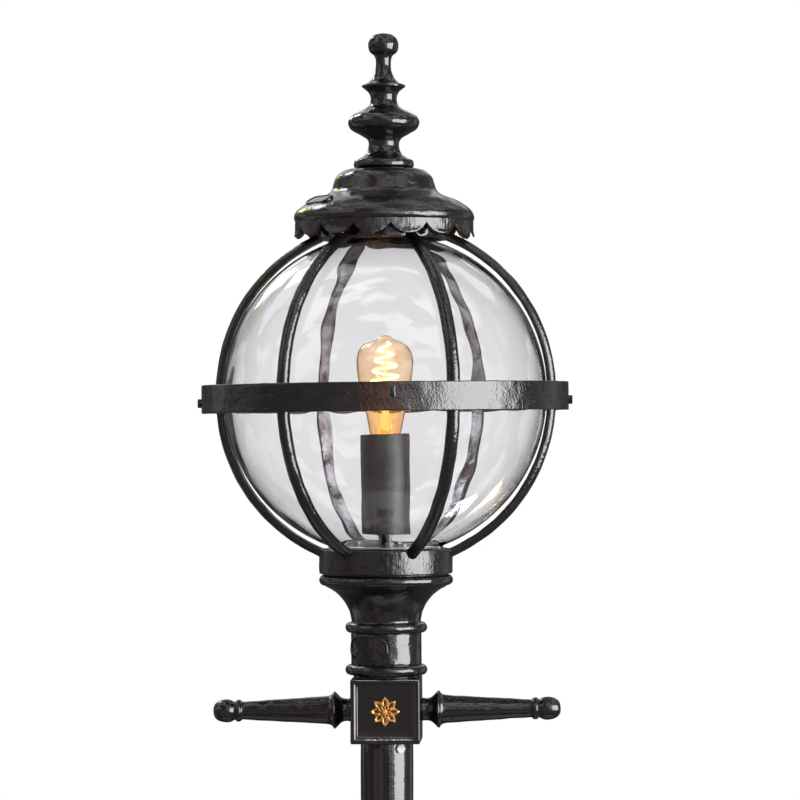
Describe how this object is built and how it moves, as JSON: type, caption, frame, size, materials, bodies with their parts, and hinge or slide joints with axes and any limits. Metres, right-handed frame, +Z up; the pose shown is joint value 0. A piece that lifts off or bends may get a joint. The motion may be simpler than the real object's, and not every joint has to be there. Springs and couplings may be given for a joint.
{
  "type": "street lamp post",
  "caption": "Free-standing street lamp post with a caged glass globe lantern, turned finial, ladder rest bars, fluted lower shaft and square pedestal with a door.",
  "frame": {"origin": "centre of the underside of the base flange, on the ground", "axes": "+Z up the post, -Y to the front with the rosette and the pedestal door, ladder bars to left and right along X"},
  "size_m": [0.427, 0.418, 2.6],
  "materials": {
    "black_paint": "thick gloss black enamel over casting",
    "zinc": "zinc plated",
    "gilt": "gold paint",
    "brass": "plain",
    "clear_glass": "clear",
    "amber_glass": "amber tinted",
    "glow": "glowing filament",
    "rubber": "matt",
    "grey_shroud": "satin dark grey",
    "porcelain": "glazed",
    "black_plastic": "matt",
    "white_plastic": "moulded",
    "red_plastic": "moulded",
    "board": "varnished plywood"
  },
  "bodies": {
    "column": {"base_flange": "black_paint", "pedestal": "black_paint", "door_hinge_pins": "zinc", "backboard": "board", "cutout_box": "white_plastic", "isolator_pin": "zinc", "cable_gland": "black_plastic", "earth_stud": "brass", "shaft_base": "black_paint", "fluted_shaft": "black_paint", "shaft_collar": "black_paint", "collar_screws": "black_paint", "post_tube": "black_paint", "ladder_block": "black_paint", "rosettes": "gilt", "ladder_bar_left": "black_paint", "ladder_bar_right": "black_paint", "bar_studs": "zinc", "tube_set_bolts": "zinc", "neck_casting": "black_paint", "neck_badge": "black_paint", "gallery_drum": "black_paint", "lower_ring": "black_paint", "lower_rib_1": "black_paint", "lower_rib_2": "black_paint", "lower_rib_3": "black_paint", "lower_rib_4": "black_paint", "lower_rib_5": "black_paint", "lower_rib_6": "black_paint", "globe": "clear_glass", "globe_gasket": "rubber", "gallery_plate": "zinc", "plate_spacers": "zinc", "plate_screws": "zinc", "holder_pillars": "zinc", "lamp_holder": "porcelain", "holder_shell": "brass", "holder_shroud": "grey_shroud", "supply_flex": "black_plastic"},
    "door": {"door": "black_paint"},
    "door_lock": {"door_lock": "zinc"},
    "isolator": {"isolator_lever": "red_plastic"},
    "upper_cage": {"band_ring": "black_paint", "band_bolts": "black_paint", "upper_rib_1": "black_paint", "upper_rib_2": "black_paint", "upper_rib_3": "black_paint", "upper_rib_4": "black_paint", "upper_rib_5": "black_paint", "upper_rib_6": "black_paint", "crown_ring": "black_paint", "canopy_spacers": "zinc", "canopy": "black_paint", "canopy_skirt": "black_paint", "canopy_badge": "black_paint", "finial_stud": "zinc"},
    "finial": {"finial": "black_paint"},
    "bulb": {"bulb_cap": "brass", "bulb_glass": "amber_glass", "bulb_filament": "glow"}
  },
  "joints": [
    {"name": "cage_lift", "type": "slide", "parent": "column", "child": "upper_cage", "axis": [0, 0, 1], "range_m": [0, 0.25]},
    {"name": "finial_turn", "type": "hinge", "parent": "upper_cage", "child": "finial", "pos_m": [0, 0, 2.446], "axis": [0, 0, 1], "continuous": true},
    {"name": "bulb_turn", "type": "hinge", "parent": "column", "child": "bulb", "pos_m": [0, 0, 2.12], "axis": [0, 0, 1], "continuous": true},
    {"name": "door_swing", "type": "hinge", "parent": "column", "child": "door", "pos_m": [-0.059, -0.0913, 0.26], "axis": [0, 0, -1], "range_deg": [0, 110]},
    {"name": "lock_turn", "type": "hinge", "parent": "door", "child": "door_lock", "pos_m": [0.042, -0.085, 0.26], "axis": [0, 1, 0], "range_deg": [0, 90]},
    {"name": "isolator_throw", "type": "hinge", "parent": "column", "child": "isolator", "pos_m": [0, 0.01, 0.293], "axis": [1, 0, 0], "range_deg": [0, 50]}
  ]
}
